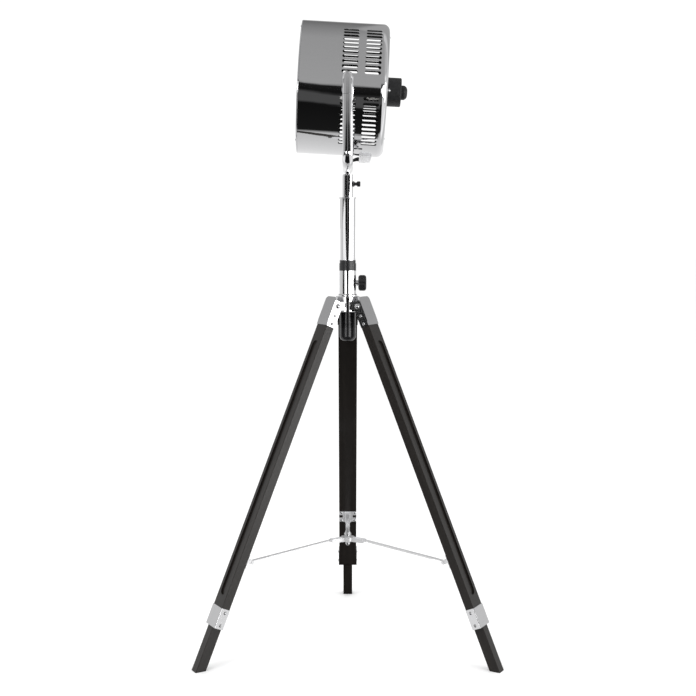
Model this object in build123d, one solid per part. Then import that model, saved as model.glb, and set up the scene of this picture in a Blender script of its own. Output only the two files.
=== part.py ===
from build123d import *
import math
import os

# Tripod floor lamp: a chromed drum spotlight in a U yoke, on a sliding column and three folding wooden legs.
# Millimetres, +Z up. The origin is on the floor, on the column's axis. The lamp shines towards -X.

# ---- Legs. A leg's own frame has X out of its outer face, Y across it and Z up along it.
LEG_AZIMUTHS = {"left": 210.0, "right": -30.0, "rear": 90.0}
LEG_TILT = 23.3
FACE_RADIUS = 73.5
FACE_HEIGHT = 821.0
UPPER_WIDTH = 48.0
UPPER_DEPTH = 22.0
UPPER_TOP = 40.0
UPPER_END = -778.0
LOWER_WIDTH = 25.4
LOWER_DEPTH = 25.0
GROOVE_WIDTH = 25.0
GROOVE_DEPTH = 4.0
GROOVE_TOP = -42.0
GROOVE_END = -700.0
TENON_LENGTH = 200.0
TENON_WIDTH = 24.0
TENON_IN = 9.0
TENON_DEPTH = 10.0
GAP = 0.3
PLATE = 1.5
BRACKET_TOP = 74.0
BRACKET_SIDE_TOP = 66.0
CLAMP_LENGTH = 49.5
HINGE_IN = 10.8
HINGE_UP = 53.8
HINGE_RADIUS = 4.0
RUNNING = 0.06

# ---- Spreader: three straps from eyes on the legs to a hub on the axis.
EYE_RADIUS = 272.0
EYE_HEIGHT = 247.0
KNUCKLE_RADIUS = 46.0
KNUCKLE_HEIGHT = 270.0
STRAP_WIDTH = 11.0
EYE_PIN = 2.0
EYE_WALL = 4.0

# ---- Column.
HUB_BOTTOM = 851.0
HUB_TOP = 889.0
HUB_CORE = 30.0
LUG_HALF_WIDTH = 23.6
LUG_HALF_HEIGHT = 10.0
MAST_RADIUS = 18.8
MAST_BOTTOM = 858.0
MAST_TOP = 1131.0
SLEEVE_BORE = 18.88
SLEEVE_TOP = 953.0
CAP_BOTTOM = 777.0
COLLAR_STEP = 971.0
COLLAR_TOP = 979.0
KNOB_HEIGHT = 922.0
FLANGE_RADIUS = 21.5
FLANGE_TOP = 1133.8
STEM_RADIUS = 12.85
STEM_BORE = 10.6
STEM_TOP = 1189.0
THUMB_HEIGHT = 1167.0

# ---- Yoke and head. The head's own frame has X along the drum towards its back.
PIVOT_HEIGHT = 1397.0
YOKE_INNER = 166.0
YOKE_BASE = 1206.0
YOKE_BEND = 30.0
YOKE_WIDTH = 24.5
YOKE_THICK = 9.0
CAP_WIDTH = 27.0
CAP_LOW = 1369.0
CAP_TOP_CENTRE = 1407.0
PIVOT_RADIUS = 5.0
DRUM_TILT = 3.2
DRUM_RADIUS = 160.0
DRUM_WALL = 1.5
DRUM_FRONT = -114.5
DRUM_BACK = 94.5
DRUM_CORNER = 16.0
RIM_FRONT = -118.0
SLOT_LENGTH = 38.0
SLOT_WIDTH = 8.0
SLOT_ROWS = (3.0, 57.5)
SLOT_FIRST = 11.1
SLOT_PITCH = 4.5
SLOT_TURN = 2.2
SLOT_COUNT = 11
HOUSING_RADIUS = 35.0
HOUSING_BACK = 131.0
SWITCH_KNOB_RADIUS = 17.5


def block(x_low, x_high, y_low, y_high, z_low, z_high):
    """A box given by its corners."""
    middle = Pos((x_low + x_high) / 2, (y_low + y_high) / 2, (z_low + z_high) / 2)
    return middle * Box(x_high - x_low, y_high - y_low, z_high - z_low)


def rod(radius, start, end):
    """A round bar between two points."""
    along = Vector(*end) - Vector(*start)
    return Plane(origin=start, z_dir=along) * Cylinder(
        radius, along.length, align=(Align.CENTER, Align.CENTER, Align.MIN)
    )


def tube(outer, inner, z_low, z_high):
    """A round tube about Z."""
    return rod(outer, (0, 0, z_low), (0, 0, z_high)) - rod(inner, (0, 0, z_low - 1), (0, 0, z_high + 1))


def turned(*lines):
    """A solid of revolution about Z from an outline drawn as (radius, height)."""
    outline = Wire(list(edge for line in lines for edge in line.edges()))
    return revolve(Plane.XZ * Face(outline), Axis.Z)


def turned_points(*points):
    """A solid of revolution about Z from straight runs."""
    return turned(Polyline(*points, close=True))


def dome_arc(radius, low, high):
    """The outline of a dome, from its rim to its crown on the axis; the curve is centred on the axis."""
    rise = high - low
    ball = (radius**2 + rise**2) / (2 * rise)
    halfway = math.asin(radius / ball) / 2
    middle = (ball * math.sin(halfway), high - ball + ball * math.cos(halfway))
    return ThreePointArc((radius, low), middle, (0, high))


def dome_screw(head_radius, head_height, shank_radius, shank_length):
    """A domed screw head on the plane Z = 0, its shank pointing down."""
    shank = Polyline(
        (0, head_height), (0, -shank_length), (shank_radius, -shank_length), (shank_radius, 0), (head_radius, 0)
    )
    return turned(shank, dome_arc(head_radius, 0, head_height))


def hexagon_nut(radius, height, bore):
    """A hexagon nut on the plane Z = 0."""
    nut = extrude(RegularPolygon(radius, 6), height)
    return nut - rod(bore, (0, 0, -1), (0, 0, height + 1))


def fluted(radius, height, flutes, flute_radius, edge):
    """A grip knob with scalloped sides, standing on Z = 0."""
    body = fillet(Cylinder(radius, height, align=(Align.CENTER, Align.CENTER, Align.MIN)).edges(), edge)
    for index in range(flutes):
        body -= Rot(0, 0, index * 360 / flutes) * Pos(radius + 0.55 * flute_radius, 0, height / 2) * Cylinder(
            flute_radius, height + 2
        )
    return body


def facing(x, y, z, direction):
    """The place of a screw whose head points along a direction."""
    return Plane(origin=(x, y, z), z_dir=direction).location


def leg_place(azimuth):
    """Places a piece drawn in a leg's own frame."""
    return Rot(0, 0, azimuth) * Pos(FACE_RADIUS, 0, FACE_HEIGHT) * Rot(0, -LEG_TILT, 0)


def in_leg(radius, height):
    """Leg-frame X and Z of a point given by its radius and height on the lamp."""
    lean = math.radians(LEG_TILT)
    out = radius - FACE_RADIUS
    up = height - FACE_HEIGHT
    return (
        out * math.cos(lean) + up * math.sin(lean),
        up * math.cos(lean) - out * math.sin(lean),
    )


def save(name, *solids):
    export_step(Compound(children=[s for piece in solids for s in piece.solids()]), f"parts/{name}.step")


# ---------------------------------------------------------------- legs

SCREW_HEAD = 4.0
SCREW_DOME = 2.2
SCREW_SHANK = 1.8
SCREW_LENGTH = 10.0
SIDE_SCREWS_UP = (28.0, 7.5)
SIDE_SCREW_IN = 12.0
CLAMP_TOP = UPPER_END + CLAMP_LENGTH
CLAMP_SCREWS_UP = (CLAMP_TOP - 9.0, UPPER_END + 9.0)
EYE_X, EYE_Z = in_leg(EYE_RADIUS, EYE_HEIGHT)
PLATE_HALF_HEIGHT = 17.0
PLATE_SCREW_Y = 18.5
PLATE_SCREW_Z = 12.5
PLATE_SCREW_LENGTH = 8.0
EAR_GAP = 5.1


def side_screw_places():
    """Where the screws through the bracket's and the clamp's side plates go, in the leg's frame."""
    for up in SIDE_SCREWS_UP + CLAMP_SCREWS_UP:
        for side in (-1, 1):
            yield facing(-SIDE_SCREW_IN, side * (UPPER_WIDTH / 2 + PLATE), up, (0, side, 0))


def plate_screw_places():
    """Where the four screws of the spreader's plate go, in the leg's frame."""
    for across in (-PLATE_SCREW_Y, PLATE_SCREW_Y):
        for up in (-PLATE_SCREW_Z, PLATE_SCREW_Z):
            yield facing(-UPPER_DEPTH - PLATE, across, EYE_Z + up, (-1, 0, 0))


def leg_screws():
    side = dome_screw(SCREW_HEAD, SCREW_DOME, SCREW_SHANK, SCREW_LENGTH)
    plate = dome_screw(SCREW_HEAD, SCREW_DOME, SCREW_SHANK, PLATE_SCREW_LENGTH)
    return [place * side for place in side_screw_places()] + [place * plate for place in plate_screw_places()]


def screw_holes():
    """Drills for every leg screw, a hair wider than the shanks."""
    drill_radius = SCREW_SHANK + 0.02
    side = rod(drill_radius, (0, 0, 1), (0, 0, -SCREW_LENGTH - 0.2))
    plate = rod(drill_radius, (0, 0, 1), (0, 0, -PLATE_SCREW_LENGTH - 0.2))
    return [place * side for place in side_screw_places()] + [place * plate for place in plate_screw_places()]


def upper_leg():
    """The wide wooden leg, with a flute in its outer face and a mortise up its lower end."""
    half = UPPER_WIDTH / 2
    body = block(-UPPER_DEPTH, 0, -half, half, UPPER_END, UPPER_TOP)
    body = fillet(body.edges().filter_by(Axis.Z), 1.2)
    flute = extrude(Plane.YZ * SlotOverall(GROOVE_TOP - GROOVE_END, GROOVE_WIDTH, rotation=90), GROOVE_DEPTH + 1)
    body -= Pos(-GROOVE_DEPTH, 0, (GROOVE_TOP + GROOVE_END) / 2) * flute
    wide = TENON_WIDTH / 2 + GAP
    mortise_top = UPPER_END + TENON_LENGTH + 5
    body -= block(-TENON_IN - TENON_DEPTH - GAP, -TENON_IN + GAP, -wide, wide, UPPER_END - 1, mortise_top)
    return body - screw_holes()


def lower_leg(azimuth):
    """The narrow wooden leg: a tenon that slides in the upper leg, and a foot cut level with the floor."""
    half = LOWER_WIDTH / 2
    reach = FACE_HEIGHT / math.cos(math.radians(LEG_TILT))
    top = UPPER_END - GAP
    foot = block(-LOWER_DEPTH, 0, -half, half, -reach - 30, top)
    foot = fillet(foot.edges().filter_by(Axis.Z), 1.2)
    tenon = block(
        -TENON_IN - TENON_DEPTH, -TENON_IN, -TENON_WIDTH / 2, TENON_WIDTH / 2, top - 1, UPPER_END + TENON_LENGTH
    )
    placed = leg_place(azimuth) * (foot + tenon)
    return placed - block(-900, 900, -900, 900, -200, 0)


def leg_bracket():
    """The chromed channel over the top of a leg; it swings on the hub's lug."""
    half = UPPER_WIDTH / 2 + PLATE
    channel = block(-UPPER_DEPTH, PLATE, -half, half, 0, BRACKET_SIDE_TOP)
    channel = fillet(channel.edges().filter_by(Axis.Z).filter_by_position(Axis.X, PLATE, PLATE), 1.4)
    inner_edges = channel.edges().filter_by(Axis.Y).filter_by_position(Axis.X, -UPPER_DEPTH, -UPPER_DEPTH)
    inner_top = inner_edges.sort_by(Axis.Z)[-1]
    channel = fillet(inner_top, 14)
    tab = block(0, PLATE, -half, half, 10, BRACKET_TOP)
    tab = fillet(tab.edges().filter_by(Axis.X).filter_by_position(Axis.Z, BRACKET_TOP, BRACKET_TOP), 10)
    channel += tab
    channel -= block(-UPPER_DEPTH - 1, 0, -half + PLATE, half - PLATE, -1, BRACKET_TOP + 1)
    channel -= rod(HINGE_RADIUS + RUNNING, (-HINGE_IN, -half - 1, HINGE_UP), (-HINGE_IN, half + 1, HINGE_UP))
    return channel - screw_holes()


def leg_clamp():
    """The chromed channel round the upper leg's lower end."""
    half = UPPER_WIDTH / 2 + PLATE
    channel = block(-UPPER_DEPTH, PLATE, -half, half, UPPER_END, CLAMP_TOP)
    channel = fillet(channel.edges().filter_by(Axis.Z).filter_by_position(Axis.X, PLATE, PLATE), 1.4)
    channel -= block(-UPPER_DEPTH - 1, 0, -half + PLATE, half - PLATE, UPPER_END - 1, CLAMP_TOP + 1)
    return channel - screw_holes()


def spreader_bracket():
    """An H-shaped plate on the leg's inner face, with two ears and a riveted pin for the strap's eye."""
    half = UPPER_WIDTH / 2
    face = -UPPER_DEPTH
    plate = block(face - PLATE, face, -half, half, EYE_Z - PLATE_HALF_HEIGHT, EYE_Z + PLATE_HALF_HEIGHT)
    for side in (-1, 1):
        notch = Pos(face, side * half, EYE_Z + 1) * Box(6, 20, 9)
        plate -= notch
    plate = fillet(plate.edges().filter_by(Axis.X), 1.5)
    for side in (-1, 1):
        low = min(side * EAR_GAP, side * (EAR_GAP + PLATE))
        high = max(side * EAR_GAP, side * (EAR_GAP + PLATE))
        ear = block(EYE_X, face, low, high, EYE_Z - 5, EYE_Z + 5)
        ear += rod(5, (EYE_X, low, EYE_Z), (EYE_X, high, EYE_Z))
        plate += ear
    pin_end = EAR_GAP + PLATE + 1.6
    plate += rod(EYE_PIN, (EYE_X, -pin_end, EYE_Z), (EYE_X, pin_end, EYE_Z))
    for side in (-1, 1):
        head_from = side * (EAR_GAP + PLATE)
        plate += rod(3.2, (EYE_X, head_from, EYE_Z), (EYE_X, head_from + side * 1.6, EYE_Z))
    return plate - screw_holes()


# ---------------------------------------------------------------- spreader

STRAP_LENGTH = math.hypot(EYE_RADIUS - KNUCKLE_RADIUS, KNUCKLE_HEIGHT - EYE_HEIGHT)
STRAP_RISE = math.degrees(math.atan2(KNUCKLE_HEIGHT - EYE_HEIGHT, EYE_RADIUS - KNUCKLE_RADIUS))
EAR_INSIDE = STRAP_WIDTH / 2 + 0.5
EAR_OUTSIDE = EAR_INSIDE + PLATE
HUB_DISC = 17.0


def spreader_arm(azimuth):
    """A pressed strap with turned-down lips and a rolled eye at each end; X runs from the leg's eye to the hub."""
    half = STRAP_WIDTH / 2
    eye_half = EAR_GAP - GAP
    outline = Polyline(
        (1, -eye_half),
        (9, -eye_half),
        (26, -half),
        (STRAP_LENGTH - 12, -half),
        (STRAP_LENGTH, -half + 1),
        (STRAP_LENGTH, half - 1),
        (STRAP_LENGTH - 12, half),
        (26, half),
        (9, eye_half),
        (1, eye_half),
        close=True,
    )
    strap = Pos(0, 0, 1.8) * extrude(make_face(outline), 1.8)
    lip = block(30, STRAP_LENGTH - 16, half - 1.4, half, 0.2, 2)
    strap += lip
    strap += mirror(lip, Plane.XZ)
    strap += rod(EYE_WALL, (0, -eye_half, 0), (0, eye_half, 0))
    strap += rod(EYE_WALL, (STRAP_LENGTH, -half + 1, 0), (STRAP_LENGTH, half - 1, 0))
    strap -= rod(EYE_PIN + RUNNING, (0, -half, 0), (0, half, 0))
    strap -= rod(EYE_PIN, (STRAP_LENGTH, -half - 1, 0), (STRAP_LENGTH, half + 1, 0))
    return Rot(0, 0, azimuth) * Pos(EYE_RADIUS, 0, EYE_HEIGHT) * Rot(0, STRAP_RISE, 180) * strap


def spreader_hub():
    """A disc on the axis with a pair of ears towards each leg."""
    disc = tube(HUB_DISC, 3.0, KNUCKLE_HEIGHT - 5, KNUCKLE_HEIGHT + 5)
    for azimuth in LEG_AZIMUTHS.values():
        for side in (-1, 1):
            low = min(side * EAR_INSIDE, side * EAR_OUTSIDE)
            high = max(side * EAR_INSIDE, side * EAR_OUTSIDE)
            ear = block(11, KNUCKLE_RADIUS, low, high, KNUCKLE_HEIGHT - 5, KNUCKLE_HEIGHT + 5)
            ear += rod(5, (KNUCKLE_RADIUS, low, KNUCKLE_HEIGHT), (KNUCKLE_RADIUS, high, KNUCKLE_HEIGHT))
            outer = side * EAR_OUTSIDE
            rivet = rod(
                2.8, (KNUCKLE_RADIUS, outer, KNUCKLE_HEIGHT), (KNUCKLE_RADIUS, outer + side * 1.4, KNUCKLE_HEIGHT)
            )
            disc += Rot(0, 0, azimuth) * (ear + rivet)
    return disc


def hub_spindle():
    """The upright bolt through the spreader's hub, with a rounded head above and a turned drop below."""
    low = KNUCKLE_HEIGHT - 5
    high = KNUCKLE_HEIGHT + 5
    body = rod(3.0, (0, 0, low - 1), (0, 0, high + 1))
    top = turned(Polyline((0, high + 18), (0, high), (6, high), (6, high + 13)), dome_arc(6, high + 13, high + 18))
    bead = 5.5
    middle = low - 7
    drop = turned(
        Polyline((0, low), (0, middle - math.sqrt(bead**2 - 2**2)), (2, middle - math.sqrt(bead**2 - 2**2))),
        ThreePointArc(
            (2, middle - math.sqrt(bead**2 - 2**2)), (bead, middle), (4, middle + math.sqrt(bead**2 - 4**2))
        ),
        Polyline((4, middle + math.sqrt(bead**2 - 4**2)), (6.5, low), (0, low)),
    )
    return body + top + drop


# ---------------------------------------------------------------- stand

SLEEVE_RADIUS = 21.0
SLEEVE_LOW_RADIUS = 20.0
HUB_RING_TOP = 895.0
LEG_LEAN = math.radians(LEG_TILT)
HINGE_RADIUS_OUT = FACE_RADIUS - HINGE_IN * math.cos(LEG_LEAN) - HINGE_UP * math.sin(LEG_LEAN)
HINGE_HEIGHT = FACE_HEIGHT - HINGE_IN * math.sin(LEG_LEAN) + HINGE_UP * math.cos(LEG_LEAN)
CLAMP_BOSS_END = 26.0
CLAMP_STUD = 4.0


def hub_casting():
    """The chromed hub: a core on the sleeve with three lugs, and a narrow slot between each pair."""
    core = rod(HUB_CORE, (0, 0, HUB_BOTTOM), (0, 0, HUB_TOP))
    core = chamfer(core.edges().filter_by(GeomType.CIRCLE), 1.5)
    core += turned_points(
        (0, HUB_TOP), (23.5, HUB_TOP), (23.5, HUB_RING_TOP - 2), (21.5, HUB_RING_TOP), (0, HUB_RING_TOP)
    )
    for azimuth in LEG_AZIMUTHS.values():
        lug = block(
            0,
            HINGE_RADIUS_OUT,
            -LUG_HALF_WIDTH,
            LUG_HALF_WIDTH,
            HINGE_HEIGHT - LUG_HALF_HEIGHT,
            HINGE_HEIGHT + LUG_HALF_HEIGHT,
        )
        lug += rod(
            LUG_HALF_HEIGHT,
            (HINGE_RADIUS_OUT, -LUG_HALF_WIDTH, HINGE_HEIGHT),
            (HINGE_RADIUS_OUT, LUG_HALF_WIDTH, HINGE_HEIGHT),
        )
        core += Rot(0, 0, azimuth) * lug
    for azimuth in LEG_AZIMUTHS.values():
        keyhole = block(24, 40, -3.2, 3.2, HUB_BOTTOM - 1, HUB_TOP - 6)
        keyhole += rod(4.4, (24, 0, HUB_TOP - 6), (40, 0, HUB_TOP - 6))
        core -= Rot(0, 0, azimuth + 180) * keyhole
        core -= Rot(0, 0, azimuth) * rod(
            HINGE_RADIUS, (HINGE_RADIUS_OUT, -60, HINGE_HEIGHT), (HINGE_RADIUS_OUT, 60, HINGE_HEIGHT)
        )
    return core - rod(SLEEVE_LOW_RADIUS, (0, 0, HUB_BOTTOM - 1), (0, 0, HUB_RING_TOP + 1))


def hinge_bolts():
    """One long bolt through each lug, dome-headed."""
    out = UPPER_WIDTH / 2 + PLATE + GAP
    bolt = rod(HINGE_RADIUS, (0, out, 0), (0, -out - 4, 0))
    bolt += facing(0, out, 0, (0, 1, 0)) * dome_screw(6.5, 4.2, HINGE_RADIUS, 1)
    return [Rot(0, 0, azimuth) * Pos(HINGE_RADIUS_OUT, 0, HINGE_HEIGHT) * bolt for azimuth in LEG_AZIMUTHS.values()]


def hinge_nuts():
    """A domed nut on the other end of each hinge bolt."""
    out = UPPER_WIDTH / 2 + PLATE + GAP
    nut = turned(
        Polyline((0, 7), (0, 4), (HINGE_RADIUS, 4), (HINGE_RADIUS, 0), (6.5, 0), (6.5, 3)),
        dome_arc(6.5, 3, 7),
    )
    place = facing(0, -out, 0, (0, -1, 0))
    return [
        Rot(0, 0, azimuth) * Pos(HINGE_RADIUS_OUT, 0, HINGE_HEIGHT) * place * nut for azimuth in LEG_AZIMUTHS.values()
    ]


def sleeve():
    """The fixed tube that the mast slides in, with a threaded boss for the clamp knob."""
    body = turned_points(
        (SLEEVE_BORE, SLEEVE_TOP),
        (SLEEVE_BORE, 806),
        (19.4, 806),
        (19.4, 812.4),
        (SLEEVE_LOW_RADIUS, 812.4),
        (SLEEVE_LOW_RADIUS, 819.8),
        (19.5, 820.3),
        (19.5, 820.9),
        (SLEEVE_LOW_RADIUS, 821.4),
        (SLEEVE_LOW_RADIUS, HUB_RING_TOP),
        (SLEEVE_RADIUS, HUB_RING_TOP),
        (SLEEVE_RADIUS, SLEEVE_TOP),
    )
    boss = rod(7, (20, 0, KNOB_HEIGHT), (CLAMP_BOSS_END, 0, KNOB_HEIGHT))
    body += boss - rod(SLEEVE_BORE, (0, 0, KNOB_HEIGHT - 20), (0, 0, KNOB_HEIGHT + 20))
    return body - rod(CLAMP_STUD + RUNNING, (15, 0, KNOB_HEIGHT), (30, 0, KNOB_HEIGHT))


def end_cap():
    """The round-bottomed cup that closes the sleeve."""
    corner = 12.0
    radius = SLEEVE_LOW_RADIUS
    middle = math.cos(math.radians(45)) * corner
    return turned(
        Polyline((0, CAP_BOTTOM), (radius - corner, CAP_BOTTOM)),
        ThreePointArc(
            (radius - corner, CAP_BOTTOM),
            (radius - corner + middle, CAP_BOTTOM + corner - middle),
            (radius, CAP_BOTTOM + corner),
        ),
        Polyline(
            (radius, CAP_BOTTOM + corner),
            (radius, 811.4),
            (radius - 0.5, 811.9),
            (19.4, 811.9),
            (19.4, 806),
            (SLEEVE_BORE, 806),
            (SLEEVE_BORE, 790),
            (9, 781),
            (0, 781),
            (0, CAP_BOTTOM),
        ),
    )


def clamp_collar():
    ring = tube(21.2, 20.0, SLEEVE_TOP, COLLAR_STEP)
    return chamfer(ring.edges().filter_by(GeomType.CIRCLE).sort_by(Axis.Z)[-1:], 0.4)


def collar_bush():
    """The plastic bush that guides the mast; its upper tier stands above the collar."""
    return turned_points(
        (SLEEVE_BORE, SLEEVE_TOP),
        (20.0, SLEEVE_TOP),
        (20.0, COLLAR_STEP - 0.6),
        (20.0, COLLAR_TOP - 1),
        (19.4, COLLAR_TOP),
        (SLEEVE_BORE, COLLAR_TOP),
    )


def clamp_knob():
    """A scalloped grip whose screw pinches the mast."""
    grip = fluted(20.0, 20.2, 8, 5.5, 6.5)
    grip -= rod(CLAMP_STUD, (0, 0, -1), (0, 0, 12))
    return Pos(CLAMP_BOSS_END + GAP, 0, KNOB_HEIGHT) * Rot(0, 90, 0) * grip


def clamp_stud():
    return rod(CLAMP_STUD, (MAST_RADIUS + GAP, 0, KNOB_HEIGHT), (CLAMP_BOSS_END + GAP + 12, 0, KNOB_HEIGHT))


# ---------------------------------------------------------------- mast

THUMB_STUD = 2.5
BUSH_LOW = 1095.0
MAST_BORE = 16.8


def tube_flange():
    ring = tube(FLANGE_RADIUS, STEM_RADIUS, MAST_TOP, FLANGE_TOP)
    return fillet(ring.edges().filter_by(GeomType.CIRCLE).sort_by(SortBy.RADIUS)[-2:], 0.8)


def stem_tube():
    """The thin tube on top of the mast, drilled for the thumb screw."""
    body = tube(STEM_RADIUS, STEM_BORE, BUSH_LOW, STEM_TOP)
    body = fillet(body.edges().filter_by(GeomType.CIRCLE).sort_by(Axis.Z)[-2:].sort_by(SortBy.RADIUS)[-1:], 1.0)
    return body - rod(THUMB_STUD + RUNNING, (5, 0, THUMB_HEIGHT), (20, 0, THUMB_HEIGHT))


def thumb_screw():
    """A spool-shaped screw that locks the yoke's swivel; drawn along Z and laid along X."""
    foot = STEM_RADIUS + GAP
    spool = turned(
        Polyline(
            (0, 31.5), (0, 10.8), (THUMB_STUD, 10.8), (THUMB_STUD, foot), (7.2, foot), (6.4, 16.4), (4.2, 17.6)
        ),
        ThreePointArc((4.2, 17.6), (3.9, 20), (4.4, 22.4)),
        Polyline((4.4, 22.4), (6.8, 23.8), (6.8, 30.3), (5.6, 31.5), (0, 31.5)),
    )
    return Pos(0, 0, THUMB_HEIGHT) * Rot(0, 90, 0) * spool


# ---------------------------------------------------------------- yoke

SPIGOT_RADIUS = 10.5
NECK_RADIUS = 6.25
NECK_TOP = 1200.0
TONGUE = 3.5
CAP_CROWN = 12.0
NUT_POCKET = 11.0
NUT_POCKET_DEPTH = 9.5


def half_round(width, edge, crown):
    """A bar section: flat on Y = 0, with a rounded back."""
    half = width / 2
    flat = Polyline((-half, edge), (-half, 0), (half, 0), (half, edge))
    back = ThreePointArc((half, edge), (0, crown), (-half, edge))
    return make_face([flat, back])


def arm_tongue():
    """The flat tongue on top of the near arm that the pivot bolt passes through."""
    near = -YOKE_INNER - TONGUE
    body = block(-10, 10, near, -YOKE_INNER, CAP_LOW - 6, PIVOT_HEIGHT)
    return body + rod(10, (0, near, PIVOT_HEIGHT), (0, -YOKE_INNER, PIVOT_HEIGHT))


def yoke(neck):
    """A half-round bar bent into a U, with a drilled tongue on each arm."""
    low = YOKE_BASE + YOKE_BEND
    flat_end = YOKE_INNER - YOKE_BEND
    corner = YOKE_BEND * math.cos(math.radians(45))
    path = Wire(
        [
            Edge.make_line((0, -YOKE_INNER, CAP_LOW - 0.3), (0, -YOKE_INNER, low)),
            Edge.make_three_point_arc(
                (0, -YOKE_INNER, low), (0, -flat_end - corner, low - corner), (0, -flat_end, YOKE_BASE)
            ),
            Edge.make_line((0, -flat_end, YOKE_BASE), (0, flat_end, YOKE_BASE)),
            Edge.make_three_point_arc(
                (0, flat_end, YOKE_BASE), (0, flat_end + corner, low - corner), (0, YOKE_INNER, low)
            ),
            Edge.make_line((0, YOKE_INNER, low), (0, YOKE_INNER, CAP_LOW - 0.3)),
        ]
    )
    start = Plane(origin=(0, -YOKE_INNER, CAP_LOW - 0.3), x_dir=(1, 0, 0), z_dir=(0, 0, -1))
    bar = sweep(start * half_round(YOKE_WIDTH, 2.0, YOKE_THICK), path)
    tongue = arm_tongue()
    bar += tongue
    bar += mirror(tongue, Plane.XZ)
    bar -= rod(PIVOT_RADIUS + RUNNING, (0, -200, PIVOT_HEIGHT), (0, 200, PIVOT_HEIGHT))
    return bar - neck


def swivel_spigot():
    """The post that turns in the stem tube, with a neck welded under the yoke."""
    return turned_points(
        (0, 1150),
        (SPIGOT_RADIUS - 1, 1150),
        (SPIGOT_RADIUS, 1151),
        (SPIGOT_RADIUS, STEM_TOP + GAP),
        (12.4, STEM_TOP + GAP),
        (12.4, STEM_TOP + 1.4),
        (NECK_RADIUS, STEM_TOP + 3),
        (NECK_RADIUS, NECK_TOP),
        (0, NECK_TOP),
    )


def yoke_cap():
    """The round-ended cap over the near arm's tongue and pivot nut."""
    section = half_round(CAP_WIDTH, 3.0, CAP_CROWN)
    floor = Plane(origin=(0, -YOKE_INNER, CAP_LOW), x_dir=(1, 0, 0), z_dir=(0, 0, -1))
    body = extrude(floor * section, CAP_LOW - CAP_TOP_CENTRE)
    half = CAP_WIDTH / 2
    dome = turned(Polyline((0, CAP_CROWN), (0, 0), (half, 0), (half, 3.0)), dome_arc(half, 3.0, CAP_CROWN))
    body += Pos(0, -YOKE_INNER, CAP_TOP_CENTRE) * Rot(90, 0, 0) * dome
    body -= arm_tongue()
    body -= rod(
        NUT_POCKET, (0, -YOKE_INNER + 1, PIVOT_HEIGHT), (0, -YOKE_INNER - NUT_POCKET_DEPTH, PIVOT_HEIGHT)
    )
    return body


def cap_screw():
    """The small grub-like screw in the side of the near cap."""
    return facing(CAP_WIDTH / 2 - 0.6, -YOKE_INNER - 2.2, 1380, (1, 0, 0)) * dome_screw(2.0, 1.8, 1.0, 2.0)


# ---------------------------------------------------------------- head

HEAD = Pos(0, 0, PIVOT_HEIGHT) * Rot(0, DRUM_TILT, 0)
AXIAL = HEAD * Rot(0, 90, 0)
INNER_RADIUS = DRUM_RADIUS - DRUM_WALL
BACK_INSIDE = DRUM_BACK - DRUM_WALL
BACK_HOLE = 22.0
SHELL_SCREW_ANGLES = (-30, 90, 210)
SOCKET_RADIUS = 21.0
SOCKET_FRONT = 48.0
COVER_X = (37.0, 70.0)
COVER_DEPTH = 15.0
COVER_HALF_WIDTH = 22.0


def drum_slots():
    """Cutters for the two rows of cooling slots, in the head's frame."""
    slot = Pos(0, -INNER_RADIUS, 0) * extrude(Plane.XZ * SlotOverall(SLOT_LENGTH, SLOT_WIDTH), 6, both=True)
    return [
        Rot(SLOT_TURN + turn + side * (SLOT_FIRST + index * SLOT_PITCH), 0, 0) * Pos(row, 0, 0) * slot
        for row in SLOT_ROWS
        for turn in (0, 180)
        for side in (-1, 1)
        for index in range(SLOT_COUNT)
    ]


def drum_shell():
    """The spun drum: open in front, rounded into its back wall, with cooling slots."""
    lean = math.cos(math.radians(45))
    outer_centre = DRUM_BACK - DRUM_CORNER
    ring_centre = DRUM_RADIUS - DRUM_CORNER
    inner_corner = DRUM_CORNER - DRUM_WALL
    shell = turned(
        Polyline((INNER_RADIUS, DRUM_FRONT), (DRUM_RADIUS, DRUM_FRONT), (DRUM_RADIUS, outer_centre)),
        ThreePointArc(
            (DRUM_RADIUS, outer_centre),
            (ring_centre + DRUM_CORNER * lean, outer_centre + DRUM_CORNER * lean),
            (ring_centre, DRUM_BACK),
        ),
        Polyline(
            (ring_centre, DRUM_BACK), (BACK_HOLE, DRUM_BACK), (BACK_HOLE, BACK_INSIDE), (ring_centre, BACK_INSIDE)
        ),
        ThreePointArc(
            (ring_centre, BACK_INSIDE),
            (ring_centre + inner_corner * lean, outer_centre + inner_corner * lean),
            (INNER_RADIUS, outer_centre),
        ),
        Polyline((INNER_RADIUS, outer_centre), (INNER_RADIUS, DRUM_FRONT)),
    )
    shell = Rot(0, 90, 0) * shell
    shell -= drum_slots()
    shell -= rod(PIVOT_RADIUS, (0, -200, 0), (0, 200, 0))
    return HEAD * shell - shell_screw_holes()


def front_ring():
    """The rolled bead that stiffens the open edge, with a lip inside the drum."""
    lip = DRUM_FRONT + 8
    outside = INNER_RADIUS - 0.05
    inside = INNER_RADIUS - 1.4
    ring = turned(
        Polyline((outside, lip), (inside, lip), (inside, DRUM_FRONT), (151, DRUM_FRONT), (151, RIM_FRONT + 1.2)),
        ThreePointArc((151, RIM_FRONT + 1.2), (151.35, RIM_FRONT + 0.35), (152.2, RIM_FRONT)),
        Polyline((152.2, RIM_FRONT), (158.4, RIM_FRONT)),
        ThreePointArc((158.4, RIM_FRONT), (160.0, RIM_FRONT + 1.75), (158.4, DRUM_FRONT)),
        Polyline((158.4, DRUM_FRONT), (outside, DRUM_FRONT), (outside, lip)),
    )
    return AXIAL * ring - shell_screw_holes()


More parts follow.
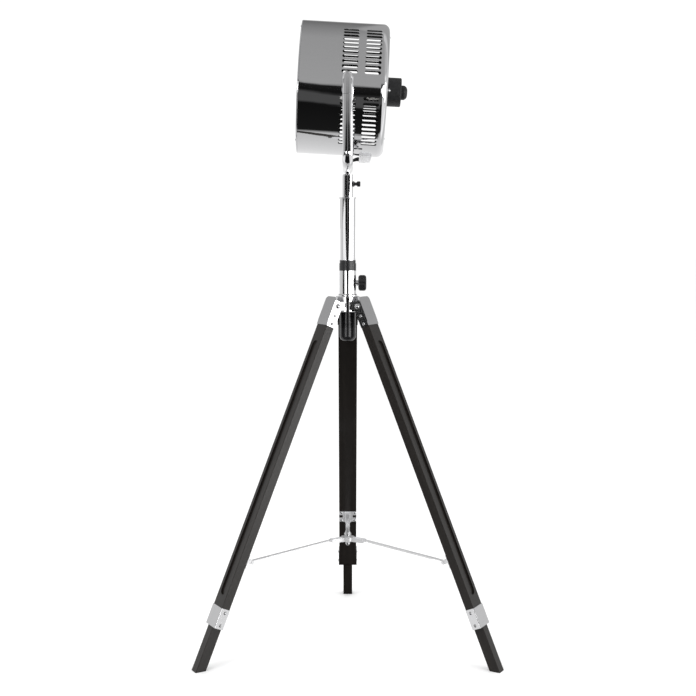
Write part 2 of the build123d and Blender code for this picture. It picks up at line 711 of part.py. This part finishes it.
def shell_screw_places():
    """Three screws in the front bead and three in the back wall."""
    for angle in SHELL_SCREW_ANGLES:
        turn = Rot(0, 0, angle)
        yield AXIAL * turn * facing(154.6, 0, RIM_FRONT, (0, 0, -1))
        yield AXIAL * turn * facing(138.0, 0, DRUM_BACK, (0, 0, 1))


def shell_screws():
    screw = dome_screw(2.6, 1.9, 1.2, 3.0)
    return [place * screw for place in shell_screw_places()]


def shell_screw_holes():
    drill = rod(1.22, (0, 0, 1), (0, 0, -3.3))
    return [place * drill for place in shell_screw_places()]


def switch_housing():
    """The black cup behind the drum."""
    cup = rod(HOUSING_RADIUS, (0, 0, DRUM_BACK), (0, 0, HOUSING_BACK))
    cup = fillet(cup.edges().filter_by(GeomType.CIRCLE).sort_by(Axis.Z)[-1:], 3)
    cup -= rod(HOUSING_RADIUS - 2.5, (0, 0, DRUM_BACK - 1), (0, 0, HOUSING_BACK - 2.5))
    cup -= rod(3.1, (0, 0, HOUSING_BACK - 4), (0, 0, HOUSING_BACK + 1))
    for side in (-1, 1):
        cup -= rod(1.22, (0, side * 30, DRUM_BACK + 5.5), (0, side * 40, DRUM_BACK + 5.5))
    return AXIAL * cup


def housing_screws():
    screw = dome_screw(4.2, 2.4, 1.2, 4.0)
    return [
        AXIAL * facing(0, side * (HOUSING_RADIUS + 0.1), DRUM_BACK + 5.5, (0, side, 0)) * screw for side in (-1, 1)
    ]


def switch_body():
    """The rotary switch inside the cup."""
    back = HOUSING_BACK - 2.5
    body = block(-14, 14, -14, 14, back - 22, back)
    body -= rod(3.1, (0, 0, back - 12), (0, 0, back + 1))
    return AXIAL * body


def switch_knob():
    """A knurled, domed knob on the switch's shaft."""
    radius = SWITCH_KNOB_RADIUS
    foot = HOUSING_BACK + GAP
    body = turned(
        Polyline((0, foot + 15.4), (0, foot), (radius - 0.6, foot), (radius, foot + 0.6), (radius, foot + 6.5)),
        ThreePointArc((radius, foot + 6.5), (radius * 0.8, foot + 12.2), (radius * 0.42, foot + 15.1)),
        Polyline((radius * 0.42, foot + 15.1), (0, foot + 15.4)),
    )
    groove = Pos(radius + 0.55, 0, foot + 8) * Cylinder(1.1, 18)
    body -= [Rot(0, 0, index * 15) * groove for index in range(24)]
    body += rod(3.0, (0, 0, HOUSING_BACK - 12), (0, 0, foot + 1))
    return AXIAL * body


def socket_bracket():
    """The dished disc that holds the lamp socket to the back wall."""
    disc = tube(34, 5, BACK_INSIDE - 2, BACK_INSIDE)
    return AXIAL * disc


def lamp_socket():
    """The screw socket for the bulb."""
    body = turned_points(
        (5, BACK_INSIDE - 2),
        (SOCKET_RADIUS, BACK_INSIDE - 2),
        (SOCKET_RADIUS, SOCKET_FRONT + 6),
        (SOCKET_RADIUS - 2, SOCKET_FRONT),
        (13.7, SOCKET_FRONT),
        (13.7, 82),
        (5, 82),
    )
    return AXIAL * body


def bulb_cap():
    """The bulb's metal screw cap."""
    return AXIAL * turned_points((0, 81), (4, 81), (8, 77), (13.2, 74), (13.2, 50), (0, 50))


def bulb_glass():
    """The glass globe."""
    globe = 35.0
    centre = 2.0
    neck = 13.0
    meet = centre + math.sqrt(globe**2 - 22.0**2)
    body = turned(
        Polyline((0, centre - globe), (0, 50), (neck, 50), (neck, 44)),
        ThreePointArc((neck, 44), (16.0, 36.5), (22.0, meet)),
        ThreePointArc((22.0, meet), (globe, centre), (0, centre - globe)),
    )
    return AXIAL * body


def lead_wires():
    """The two short wires from the socket to the switch."""
    back = HOUSING_BACK - 2.5
    return [AXIAL * rod(1.4, (0, side * 3.2, 82.2), (0, side * 3.2, back - 22)) for side in (-1, 1)]


def pivot_bolts():
    """The bolts that the head tilts on, headed inside the drum."""
    near = rod(PIVOT_RADIUS, (0, -INNER_RADIUS + 2, 0), (0, -YOKE_INNER - TONGUE - GAP - 5, 0))
    near += facing(0, -INNER_RADIUS + 0.4, 0, (0, 1, 0)) * dome_screw(9, 4.5, PIVOT_RADIUS, 1)
    return [HEAD * near, HEAD * mirror(near, Plane.XZ)]


def pivot_washers():
    """Thick washers, dished to the drum, that hold it clear of the arms."""
    near = rod(14, (0, -DRUM_RADIUS + 2, 0), (0, -YOKE_INNER + GAP, 0))
    near -= rod(DRUM_RADIUS, (-40, 0, 0), (40, 0, 0))
    near -= rod(PIVOT_RADIUS, (0, -200, 0), (0, 0, 0))
    return [HEAD * near, HEAD * mirror(near, Plane.XZ)]


def pivot_nuts():
    near = facing(0, -YOKE_INNER - TONGUE - GAP, 0, (0, -1, 0)) * hexagon_nut(8.5, 4.5, PIVOT_RADIUS)
    return [HEAD * near, HEAD * mirror(near, Plane.XZ)]


def wire_cover():
    """The shallow pressed cover under the drum where the lead comes out."""
    low, high = COVER_X
    bottom = -DRUM_RADIUS - COVER_DEPTH
    outline = Polyline((low, -150), (low, bottom), (high - 6, bottom), (high, -150), close=True)
    body = extrude(Plane.XZ * make_face(outline), COVER_HALF_WIDTH, both=True)
    inside = Polyline(
        (low + 1.5, -140), (low + 1.5, bottom + 1.5), (high - 7.2, bottom + 1.5), (high - 1.6, -140), close=True
    )
    body -= extrude(Plane.XZ * make_face(inside), COVER_HALF_WIDTH - 1.5, both=True)
    body -= rod(DRUM_RADIUS, (-200, 0, 0), (200, 0, 0))
    return HEAD * body - gland_core()


def gland_core():
    return HEAD * rod(3.6, (COVER_X[0] - 4, 0, -167.5), (COVER_X[0] + 5, 0, -167.5))


def cable_gland():
    """The strain relief in the cover's front face; it points at the yoke's stem."""
    wall = COVER_X[0]
    nozzle = Cone(4.8, 3.2, 12, align=(Align.CENTER, Align.CENTER, Align.MIN))
    body = HEAD * rod(5.0, (wall - 5, 0, -167.5), (wall, 0, -167.5))
    body += HEAD * Pos(wall - 4.4, 0, -167.5) * Rot(0, -112, 0) * nozzle
    body += gland_core()
    bore = HEAD * rod(1.9, (wall - 1, 0, -167.5), (wall + 6, 0, -167.5))
    bore += HEAD * Pos(wall - 1, 0, -167.5) * Rot(0, -112, 0) * rod(1.9, (0, 0, -0.5), (0, 0, 20))
    return body - bore


# ---------------------------------------------------------------- files

os.makedirs("parts", exist_ok=True)

for name, azimuth in LEG_AZIMUTHS.items():
    place = leg_place(azimuth)
    save(f"upper_leg_{name}", place * upper_leg())
    save(f"lower_leg_{name}", lower_leg(azimuth))
    save(f"leg_bracket_{name}", place * leg_bracket())
    save(f"leg_clamp_{name}", place * leg_clamp())
    save(f"leg_screws_{name}", *[place * screw for screw in leg_screws()])
    save(f"spreader_bracket_{name}", place * spreader_bracket())
    save(f"spreader_arm_{name}", spreader_arm(azimuth))

save("spreader_hub", spreader_hub())
save("hub_spindle", hub_spindle())

save("hub_casting", hub_casting())
save("hinge_bolts", *hinge_bolts())
save("hinge_nuts", *hinge_nuts())
save("sleeve", sleeve())
save("end_cap", end_cap())
save("clamp_collar", clamp_collar())
save("collar_bush", collar_bush())
save("clamp_knob", clamp_knob())
save("clamp_stud", clamp_stud())

save("mast_tube", tube(MAST_RADIUS, MAST_BORE, MAST_BOTTOM, MAST_TOP))
save("mast_bush", tube(MAST_BORE, STEM_RADIUS, BUSH_LOW, MAST_TOP))
save("tube_flange", tube_flange())
save("stem_tube", stem_tube())
save("thumb_screw", thumb_screw())

spigot = swivel_spigot()
save("yoke", yoke(spigot))
save("swivel_spigot", spigot)
near_cap = yoke_cap()
near_screw = cap_screw()
save("yoke_caps", near_cap - near_screw, mirror(near_cap - near_screw, Plane.XZ))
save("cap_screws", near_screw, mirror(near_screw, Plane.XZ))

save("drum_shell", drum_shell())
save("front_ring", front_ring())
save("shell_screws", *shell_screws())
save("switch_housing", switch_housing())
save("housing_screws", *housing_screws())
save("switch_body", switch_body())
save("switch_knob", switch_knob())
save("socket_bracket", socket_bracket())
save("lamp_socket", lamp_socket())
save("bulb_cap", bulb_cap())
save("bulb_glass", bulb_glass())
save("lead_wires", *lead_wires())
save("pivot_bolts", *pivot_bolts())
save("pivot_washers", *pivot_washers())
save("pivot_nuts", *pivot_nuts())
save("wire_cover", wire_cover())
save("cable_gland", cable_gland())
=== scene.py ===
import math

import bmesh
import bpy
from mathutils import Euler, Matrix, Vector

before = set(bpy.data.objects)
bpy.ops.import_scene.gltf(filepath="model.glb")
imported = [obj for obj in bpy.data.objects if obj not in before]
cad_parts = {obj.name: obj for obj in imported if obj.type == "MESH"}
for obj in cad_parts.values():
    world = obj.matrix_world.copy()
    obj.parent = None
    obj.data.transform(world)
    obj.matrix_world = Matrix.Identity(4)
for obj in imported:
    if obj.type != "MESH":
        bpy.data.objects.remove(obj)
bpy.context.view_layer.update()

LEG_AZIMUTHS = {"left": 210.0, "right": -30.0, "rear": 90.0}
LEG_TILT = math.radians(23.3)
HUB_UNDERSIDE = 0.851
# Black for the sleeve's real painted lower half, and painted shade on the drum's inner skin.
BLACK_PAINT_OR_SHADE = (0.006, 0.006, 0.0065, 1)
PIVOT_HEIGHT = 1.397
DRUM_TILT = math.radians(3.2)
DRUM_RADIUS = 0.160
DRUM_WALL = 0.0015
DRUM_BACK = 0.0945
DRUM_CORNER = 0.016


class Value:
    """A shader value that adds and multiplies like a number."""

    def __init__(self, tree, socket):
        self.tree = tree
        self.socket = socket

    def maths(self, operation, *terms):
        node = self.tree.nodes.new("ShaderNodeMath")
        node.operation = operation
        for slot, term in zip(node.inputs, terms):
            plug(slot, term)
        return Value(self.tree, node.outputs[0])

    def __add__(self, other):
        return self.maths("ADD", self, other)

    def __sub__(self, other):
        return self.maths("SUBTRACT", self, other)

    def __mul__(self, other):
        return self.maths("MULTIPLY", self, other)

    def __truediv__(self, other):
        return self.maths("DIVIDE", self, other)

    def __neg__(self):
        return self.maths("MULTIPLY", self, -1.0)

    def at_least(self, floor):
        return self.maths("MAXIMUM", self, floor)

    def root(self):
        return self.maths("POWER", self, 0.5)

    def __abs__(self):
        return self.maths("ABSOLUTE", self)

    def __gt__(self, other):
        return self.maths("GREATER_THAN", self, other)

    def __lt__(self, other):
        return self.maths("LESS_THAN", self, other)

    def __rsub__(self, other):
        return self.maths("SUBTRACT", other, self)

    __radd__ = __add__
    __rmul__ = __mul__


def plug(slot, term):
    """Links a value into a socket, or sets a plain number or colour on it."""
    if isinstance(term, Value):
        term.tree.links.new(term.socket, slot)
    else:
        slot.default_value = term


class Shader:
    """The node tree of one finish."""

    def __init__(self, tree):
        self.tree = tree
        tree.nodes.clear()

    def node(self, kind, settings=None, sockets=None, output=0):
        made = self.tree.nodes.new("ShaderNode" + kind)
        for name, setting in (settings or {}).items():
            if name == "stops":
                ramp = made.color_ramp
                while len(ramp.elements) < len(setting):
                    ramp.elements.new(1.0)
                for element, (place, level) in zip(ramp.elements, setting):
                    element.position = place
                    element.color = (level, level, level, 1.0)
            else:
                setattr(made, name, setting)
        for name, term in (sockets or {}).items():
            plug(made.inputs[name], term)
        return Value(self.tree, made.outputs[output]) if made.outputs else None

    def place(self, turn=(0, 0, 0), stretch=(1, 1, 1)):
        """Object coordinates, turned and stretched for a pattern."""
        here = self.node("TexCoord", output="Object")
        turned = self.node("Mapping", sockets={"Vector": here, "Rotation": turn})
        return self.node("Mapping", sockets={"Vector": turned, "Scale": stretch})

    def noise(self, place, scale, detail=2.0, roughness=0.5):
        return self.node(
            "TexNoise", sockets={"Vector": place, "Scale": scale, "Detail": detail, "Roughness": roughness}
        )

    def blend(self, amount, one, other):
        """A colour between two colours."""
        return self.node("Mix", {"data_type": "RGBA"}, {0: amount, 6: one, 7: other}, 2)

    def bump(self, height, distance, strength=1.0):
        return self.node("Bump", sockets={"Height": height, "Distance": distance, "Strength": strength})

    def surface(self, sockets):
        shader = self.node("BsdfPrincipled", sockets=sockets)
        self.node("OutputMaterial", sockets={"Surface": shader})


def finish_named(name):
    material = bpy.data.materials.new(name)
    material.use_nodes = True
    return material, Shader(material.node_tree)


def drum_inside_shade(shader):
    """1 on the drum's inner skin and 0 outside, from its rounded section about its tilted axis. Used as
    painted shade: the inner skin is coloured black to stand in for the dark inside the drum.
    """
    untilt = Matrix.Rotation(-DRUM_TILT, 3, "Y")
    shift = -(untilt @ Vector((0, 0, PIVOT_HEIGHT)))
    here = shader.node("TexCoord", output="Object")
    turned = {"Vector": here, "Rotation": (0, -DRUM_TILT, 0), "Location": shift}
    local = shader.node("Mapping", sockets=turned)
    along = shader.node("SeparateXYZ", sockets={"Vector": local}, output="X")
    across = shader.node("SeparateXYZ", sockets={"Vector": local}, output="Y")
    upward = shader.node("SeparateXYZ", sockets={"Vector": local}, output="Z")
    radius = (across * across + upward * upward).root()
    past_ring = (radius - (DRUM_RADIUS - DRUM_CORNER)).at_least(0.0)
    past_back = (along - (DRUM_BACK - DRUM_CORNER)).at_least(0.0)
    spread = past_ring * past_ring + past_back * past_back
    return spread < (DRUM_CORNER - DRUM_WALL / 2) ** 2


def polished_chrome(name, tone=0.86, haze=0.035, ripple=0.00006, metal=1.0, black_or_shade_where=None):
    """Bright plating with faint polishing haze and a slow ripple, turned black where the mask argument
    says: real black paint below the hub on the sleeve, painted shade on the drum's inner skin.
    """
    material, shader = finish_named(name)
    here = shader.place()
    slow = shader.noise(here, 11.0, 2.0)
    wipe = shader.noise(shader.place(stretch=(3.0, 3.0, 40.0)), 14.0, 4.0, 0.6)
    pits = shader.noise(here, 900.0, 1.0)
    bright = (tone, tone, tone * 1.01, 1)
    wiped = (tone * 0.95, tone * 0.95, tone * 0.965, 1)
    colour = shader.blend(wipe, bright, wiped)
    rough = wipe * 0.05 + haze
    # Black where the mask says: real black paint on the sleeve, painted shade inside the drum. Colour
    # turns black and metal goes off.
    if black_or_shade_where is not None:
        black_or_shade = black_or_shade_where(shader)
        colour = shader.blend(black_or_shade, colour, BLACK_PAINT_OR_SHADE)
        rough = rough + black_or_shade * 0.14
        metal = 1.0 - black_or_shade
    shader.surface(
        {
            "Base Color": colour,
            "Metallic": metal,
            "Roughness": rough,
            "Normal": shader.bump(slow + pits * 0.0008, ripple * 10, 0.35),
        }
    )
    return material


def black_wood(name, azimuth):
    """Satin black stain: grain runs along the leg and stays just visible under the lacquer."""
    material, shader = finish_named(name)
    leaning = Matrix.Rotation(azimuth, 3, "Z") @ Matrix.Rotation(-LEG_TILT, 3, "Y")
    upright = leaning.inverted().to_euler("XYZ")
    pores = shader.noise(shader.place(upright, (1.0, 1.0, 0.035)), 620.0, 3.0, 0.6)
    bands = shader.noise(shader.place(upright, (1.0, 1.0, 0.05)), 85.0, 3.0, 0.55)
    cloud = shader.noise(shader.place(upright, (1.0, 1.0, 0.4)), 9.0, 2.0)
    stain = shader.blend(bands, (0.004, 0.0033, 0.0029, 1), (0.02, 0.016, 0.0134, 1))
    colour = shader.blend(cloud * 0.5, stain, (0.011, 0.0092, 0.008, 1))
    shader.surface(
        {
            "Base Color": colour,
            "Roughness": bands * 0.16 + pores * 0.1 + 0.2,
            "Coat Weight": 0.12 + cloud * 0.16,
            "Coat Roughness": 0.16,
            "Specular IOR Level": 0.35,
            "Normal": shader.bump(pores * 0.6 + bands * 0.4, 0.00018, 0.5),
        }
    )
    return material


def moulded_black(name, rough=0.42):
    """Black moulding with a fine spark-eroded grain."""
    material, shader = finish_named(name)
    here = shader.place()
    grain = shader.noise(here, 1500.0, 2.0, 0.6)
    rub = shader.noise(here, 60.0, 3.0)
    shader.surface(
        {
            "Base Color": shader.blend(rub, (0.009, 0.009, 0.0095, 1), (0.017, 0.017, 0.018, 1)),
            "Roughness": rub * 0.12 + rough,
            "Normal": shader.bump(grain, 0.00012, 0.5),
        }
    )
    return material


def zinc_steel(name):
    """Bright zinc on turned steel, with fine turning marks."""
    material, shader = finish_named(name)
    marks = shader.noise(shader.place(stretch=(1.0, 1.0, 6.0)), 900.0, 2.0)
    bloom = shader.noise(shader.place(), 120.0, 3.0)
    shader.surface(
        {
            "Base Color": shader.blend(bloom, (0.64, 0.645, 0.66, 1), (0.78, 0.78, 0.78, 1)),
            "Metallic": 1.0,
            "Roughness": bloom * 0.14 + 0.16,
            "Normal": shader.bump(marks, 0.00004, 0.4),
        }
    )
    return material


def glazed_white(name):
    """Glazed ceramic, a little uneven."""
    material, shader = finish_named(name)
    pooling = shader.noise(shader.place(), 45.0, 3.0)
    shader.surface(
        {
            "Base Color": shader.blend(pooling, (0.83, 0.82, 0.78, 1), (0.76, 0.75, 0.71, 1)),
            "Roughness": pooling * 0.1 + 0.12,
            "Normal": shader.bump(pooling, 0.0003, 0.3),
        }
    )
    return material


def frosted_bulb(name):
    """Glass with a frosted inside: pale, softly glossy."""
    material, shader = finish_named(name)
    frost = shader.noise(shader.place(), 700.0, 3.0, 0.6)
    shade = shader.noise(shader.place(), 30.0, 2.0)
    shader.surface(
        {
            "Base Color": shader.blend(shade, (0.9, 0.9, 0.88, 1), (0.82, 0.82, 0.81, 1)),
            "Roughness": frost * 0.12 + 0.2,
            "Coat Weight": shade * 0.3 + 0.5,
            "Normal": shader.bump(frost, 0.00004, 0.3),
        }
    )
    return material


def dress(node, material):
    """Gives a CAD node its finish."""
    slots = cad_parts[node].data.materials
    slots.clear()
    slots.append(material)
    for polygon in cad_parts[node].data.polygons:
        polygon.material_index = 0


# ---- Finishes on the CAD nodes.
def below_hub(shader):
    """1 on the sleeve's painted lower half."""
    return shader.node("SeparateXYZ", sockets={"Vector": shader.place()}, output="Z") < HUB_UNDERSIDE


# Painted shade: the drum's inner skin is coloured black for the dark inside the shade, not plating left
# off.
drum_chrome = polished_chrome("drum_chrome", tone=0.88, haze=0.02, black_or_shade_where=drum_inside_shade)
tube_chrome = polished_chrome("tube_chrome", tone=0.9, haze=0.02)
sleeve_chrome = polished_chrome("sleeve_chrome", tone=0.9, haze=0.02, black_or_shade_where=below_hub)
hub_chrome = polished_chrome("hub_chrome", tone=0.88, haze=0.05, ripple=0.00012)
pressed_chrome = polished_chrome("pressed_chrome", tone=0.86, haze=0.05, ripple=0.00018)
spreader_nickel = polished_chrome("spreader_nickel", tone=0.88, haze=0.1, ripple=0.00015, metal=0.55)
satin_plate = polished_chrome("satin_plate", tone=0.92, haze=0.3, ripple=0.0001, metal=0.15)
black_moulding = moulded_black("black_moulding")
black_gloss_moulding = moulded_black("black_gloss_moulding", rough=0.05)
lead_insulation = moulded_black("lead_insulation", rough=0.5)
zinc = zinc_steel("bright_zinc")
ceramic = glazed_white("glazed_ceramic")
bulb_frost = frosted_bulb("bulb_frost")

FINISHES = {
    drum_chrome: ["drum_shell"],
    satin_plate: ["wire_cover"],
    tube_chrome: [
        "front_ring",
        "mast_tube",
        "tube_flange",
        "stem_tube",
        "yoke",
        "yoke_caps",
        "swivel_spigot",
    ],
    sleeve_chrome: ["sleeve"],
    hub_chrome: ["hub_casting", "hinge_bolts", "hinge_nuts"],
    black_moulding: ["switch_housing", "switch_knob", "cable_gland", "mast_bush"],
    black_gloss_moulding: [
        "clamp_collar",
        "collar_bush",
        "clamp_knob",
        "end_cap",
        "thumb_screw",
        "switch_body",
    ],
    lead_insulation: ["lead_wires"],
    zinc: [
        "shell_screws",
        "housing_screws",
        "pivot_bolts",
        "pivot_washers",
        "pivot_nuts",
        "cap_screws",
        "clamp_stud",
        "socket_bracket",
        "bulb_cap",
        "hub_spindle",
    ],
    ceramic: ["lamp_socket"],
    bulb_frost: ["bulb_glass"],
}
for name, azimuth in LEG_AZIMUTHS.items():
    wood = black_wood(f"black_wood_{name}", math.radians(azimuth))
    FINISHES[wood] = [f"upper_leg_{name}", f"lower_leg_{name}"]
FINISHES[pressed_chrome] = [
    f"leg_{piece}_{name}" for piece in ("bracket", "clamp") for name in LEG_AZIMUTHS
]
FINISHES[spreader_nickel] = ["spreader_hub"] + [
    f"spreader_{piece}_{name}" for piece in ("arm", "bracket") for name in LEG_AZIMUTHS
]
FINISHES[zinc] += [f"leg_screws_{name}" for name in LEG_AZIMUTHS]
for material, nodes in FINISHES.items():
    for node in nodes:
        dress(node, material)


# ---- Studio: white sweep, soft light, and the dim side of the room that the plating reflects.
def studio_room():
    """White light on the lamp; reflections see a pale room with a dark strip down its front and ceiling.

    Angles round the room, in degrees: 0 is level behind the camera, 90 overhead, -90 straight down and
    180 behind the lamp. The strip's width changes with height, so each tube gets a stripe of its own.
    """
    world = bpy.data.worlds.new("studio")
    bpy.context.scene.world = world
    world.use_nodes = True
    shader = Shader(world.node_tree)
    towards = shader.node("TexCoord", output="Generated")
    across = shader.node("SeparateXYZ", sockets={"Vector": towards}, output="X")
    along = shader.node("SeparateXYZ", sockets={"Vector": towards}, output="Y")
    rise = shader.node("SeparateXYZ", sockets={"Vector": towards}, output="Z")
    turn = rise.maths("ARCTAN2", rise, -along) / (2 * math.pi) + 0.5
    height = rise.maths("ARCSINE", rise) / math.pi + 0.5
    beside = shader.node("MapRange", {}, {"Value": abs(across), "From Min": 0.03, "From Max": 0.07})

    def round_room(*stops):
        return [((degrees + 180) / 360, level) for degrees, level in stops]

    def up_the_wall(*stops):
        return [((degrees + 90) / 180, level) for degrees, level in stops]

    def between(value, low, high):
        return (value > low) * (value < high)

    strip_levels = round_room(
        (-180, 0.9),
        (-96, 0.55),
        (-90, 0.01),
        (-38, 0.006),
        (-34, 0.07),
        (-18, 0.07),
        (-13, 0.006),
        (-1, 0.012),
        (0.5, 0.36),
        (90, 0.33),
        (150, 0.15),
        (172, 0.9),
    )
    strip_width = round_room(
        (-14, 0.6),
        (-8, 0.15),
        (-1.5, 0.18),
        (-1.2, 0.57),
        (2.5, 0.45),
        (2.9, 1.0),
        (12, 1.0),
        (90, 0.3),
        (120, 0.07),
    )
    wall_levels = up_the_wall(
        (-17, 0.8), (-14, 0.05), (-11, 0.05), (-8, 0.8), (-4, 1.0), (10, 1.0), (16, 0.5), (90, 0.35)
    )
    strip = shader.node("ValToRGB", {"stops": strip_levels}, {"Fac": turn - beside * (6.5 / 360)})
    width = shader.node("ValToRGB", {"stops": strip_width}, {"Fac": turn})
    wall = shader.node("ValToRGB", {"stops": wall_levels}, {"Fac": height})
    ahead = along < 0.0
    at_tube_level = between(height, 0.42, 0.49)
    soft_boxes = between(abs(across), 0.36, 0.5) * at_tube_level * ahead * 4.0
    right_box = (across > 0.55) * between(height, 0.42, 0.53) * ahead * 3.0
    cards = (between(across, -0.96, -0.72) + between(across, 0.88, 0.955)) * at_tube_level * ahead
    rear_fade = shader.node(
        "MapRange", {}, {"Value": along, "From Min": 0.25, "From Max": 0.45, "To Min": 1.0, "To Max": 0.6}
    )
    rear_dim = shader.node(
        "MapRange", {}, {"Value": rise, "From Min": 0.12, "From Max": 0.3, "To Min": 1.0, "To Max": 0.6}
    )
    side_dim = shader.node(
        "MapRange",
        {},
        {"Value": abs(across), "From Min": 0.93, "From Max": 1.0, "To Min": 1.0, "To Max": 0.55},
    )
    walls = (wall * ahead + (1 - ahead) * rear_fade * rear_dim) * side_dim
    sides = (walls + soft_boxes + right_box) * (1 - cards * 0.98)
    edge = shader.node(
        "MapRange",
        {"interpolation_type": "SMOOTHSTEP"},
        {"Value": abs(across + beside * 0.085) - width, "From Min": -0.015, "From Max": 0.03},
    )
    room = strip * (1 - edge) + sides * edge
    mirrored = shader.node("LightPath", output="Is Glossy Ray")
    level = room * mirrored + (1 - mirrored) * 1.08
    sky = shader.node("Background", sockets={"Color": level, "Strength": 1.0})
    shader.node("OutputWorld", sockets={"Surface": sky})


def studio_floor():
    mesh = bpy.data.meshes.new("studio_floor")
    shape = bmesh.new()
    bmesh.ops.create_grid(shape, x_segments=1, y_segments=1, size=40.0)
    shape.to_mesh(mesh)
    shape.free()
    floor = bpy.data.objects.new("studio_floor", mesh)
    bpy.context.scene.collection.objects.link(floor)
    material, shader = finish_named("studio_floor")
    tone = shader.noise(shader.place(), 2.0)
    paint = shader.blend(tone, (0.93, 0.93, 0.93, 1), (0.95, 0.95, 0.95, 1))
    shader.surface({"Base Color": paint, "Roughness": 0.9, "Specular IOR Level": 0.0})
    mesh.materials.append(material)
    floor.visible_glossy = False


def soft_light(name, place, power, size):
    lamp = bpy.data.lights.new(name, "AREA")
    lamp.energy = power
    lamp.size = size
    light = bpy.data.objects.new(name, lamp)
    light.location = place
    light.rotation_euler = (Vector((0, 0, 0.8)) - Vector(place)).to_track_quat("-Z", "Y").to_euler()
    light.visible_glossy = False
    bpy.context.scene.collection.objects.link(light)


studio_room()
studio_floor()
soft_light("key_light", (-3.0, -3.5, 4.5), 90.0, 3.0)
soft_light("fill_light", (3.5, -2.0, 3.5), 50.0, 3.0)

lens = bpy.data.cameras.new("camera")
lens.lens = 62.07
lens.sensor_width = 36.0
camera = bpy.data.objects.new("camera", lens)
camera.location = (0.0007, -3.0, 1.058)
camera.rotation_euler = Euler((math.radians(90 - 5.7), 0, 0))
bpy.context.scene.collection.objects.link(camera)
bpy.context.scene.camera = camera
bpy.context.scene.view_settings.view_transform = "Standard"
